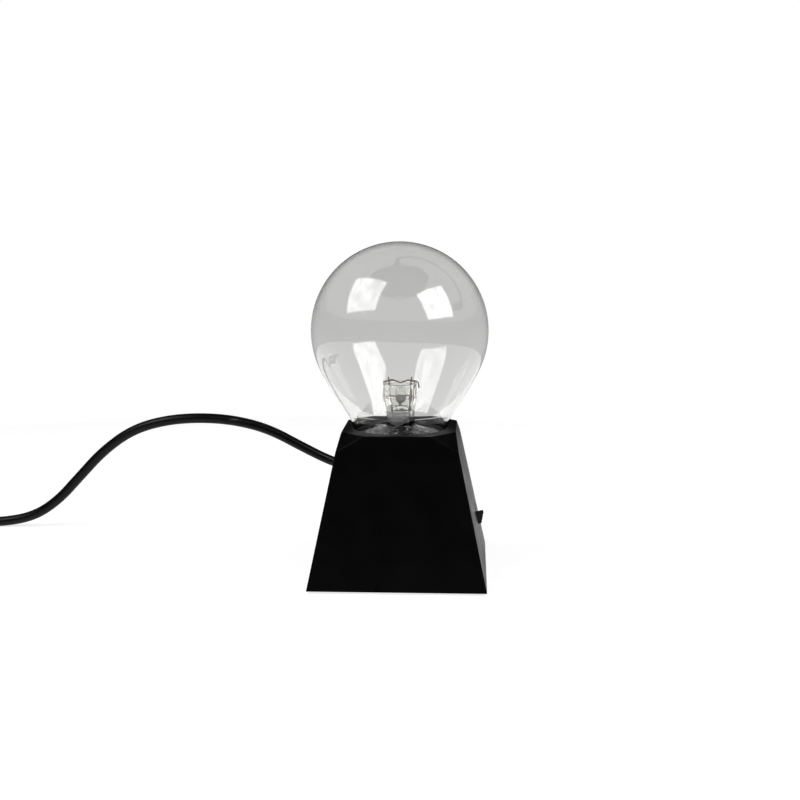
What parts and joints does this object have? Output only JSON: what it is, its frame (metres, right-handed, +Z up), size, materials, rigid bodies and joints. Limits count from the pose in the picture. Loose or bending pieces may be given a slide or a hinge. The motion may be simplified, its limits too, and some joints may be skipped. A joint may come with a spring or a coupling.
{
  "type": "plasma ball",
  "caption": "Clear glass plasma globe with an electrode stem on a black truncated-pyramid base, with a slide switch and a coiled USB lead.",
  "frame": {"origin": "on the globe's axis, on the surface that the rubber feet stand on", "axes": "+Z up along the globe's axis; -Y is the front; +X is the wall with the switch; the lead leaves the +Y wall"},
  "size_m": [0.3118, 0.1208, 0.1434],
  "materials": {
    "shell_plastic": "satin black moulded ABS",
    "cover_plastic": "fine-textured black moulded ABS",
    "knob_plastic": "satin black",
    "globe_glass": "clear polished glass",
    "stem_glass": "clear worked glass",
    "electrode_wire": "oxidised copper-plated wire",
    "electrode_metal": "dull dark nickel",
    "rubber": "matte black",
    "silicone": "translucent white",
    "seat_plastic": "matte black",
    "screw_steel": "zinc plated",
    "board_laminate": "brown paper laminate",
    "ferrite": "dark grey sintered ferrite",
    "bobbin_plastic": "black phenolic",
    "winding_tape": "yellow polyester tape",
    "copper": "enamelled copper",
    "film_dip": "red dipped coating",
    "can_sleeve": "dark shrink sleeve with a pale band",
    "sink_aluminium": "extruded",
    "chip_plastic": "moulded epoxy",
    "resistor_body": "lacquered with colour bands",
    "tin": "tinned",
    "red_insulation": "red PVC",
    "black_insulation": "black PVC",
    "yellow_insulation": "yellow PVC",
    "cord_jacket": "glossy black PVC",
    "tie_plastic": "matte black strap",
    "plug_plastic": "satin black overmould",
    "plug_steel": "nickel plated",
    "tongue_plastic": "white",
    "contact_gold": "gold flashed"
  },
  "bodies": {
    "base": {"base_shell": "shell_plastic", "bottom_cover": "cover_plastic", "cover_screws": "screw_steel", "rubber_feet": "rubber", "glass_globe": "globe_glass", "glass_stem": "stem_glass", "exhaust_tube": "stem_glass", "electrode_sleeve": "stem_glass", "lead_wires": "electrode_wire", "upper_cross_wire": "electrode_wire", "lower_cross_wire": "electrode_wire", "electrode_cup": "electrode_metal", "electrode_dome": "stem_glass", "neck_seat": "seat_plastic", "silicone_bead": "silicone", "circuit_board": "board_laminate", "board_screws": "screw_steel", "transformer_core": "ferrite", "transformer_bobbin": "bobbin_plastic", "secondary_winding": "winding_tape", "primary_winding": "copper", "transformer_pins": "tin", "film_capacitor": "film_dip", "electrolytic_capacitors": "can_sleeve", "heat_sink": "sink_aluminium", "power_transistor": "chip_plastic", "transistor_screw": "screw_steel", "resistors": "resistor_body", "driver_chip": "chip_plastic", "high_voltage_lead": "red_insulation", "switch_body": "plug_steel", "switch_terminals": "tin", "switch_screws": "screw_steel", "cord_strain_relief": "rubber", "power_cord": "cord_jacket", "power_cord_coil": "cord_jacket", "power_cord_tail": "cord_jacket", "cord_tie": "tie_plastic", "usb_plug_grip": "plug_plastic", "usb_plug_shell": "plug_steel", "usb_plug_tongue": "tongue_plastic", "usb_contacts": "contact_gold", "positive_lead": "red_insulation", "switched_lead": "yellow_insulation", "negative_lead": "black_insulation"},
    "switch_slider": {"switch_knob": "knob_plastic"}
  },
  "joints": [
    {"name": "switch_slide", "type": "slide", "parent": "base", "child": "switch_slider", "axis": [-0.2051, 0, 0.9787], "range_m": [0, 0.004]}
  ]
}
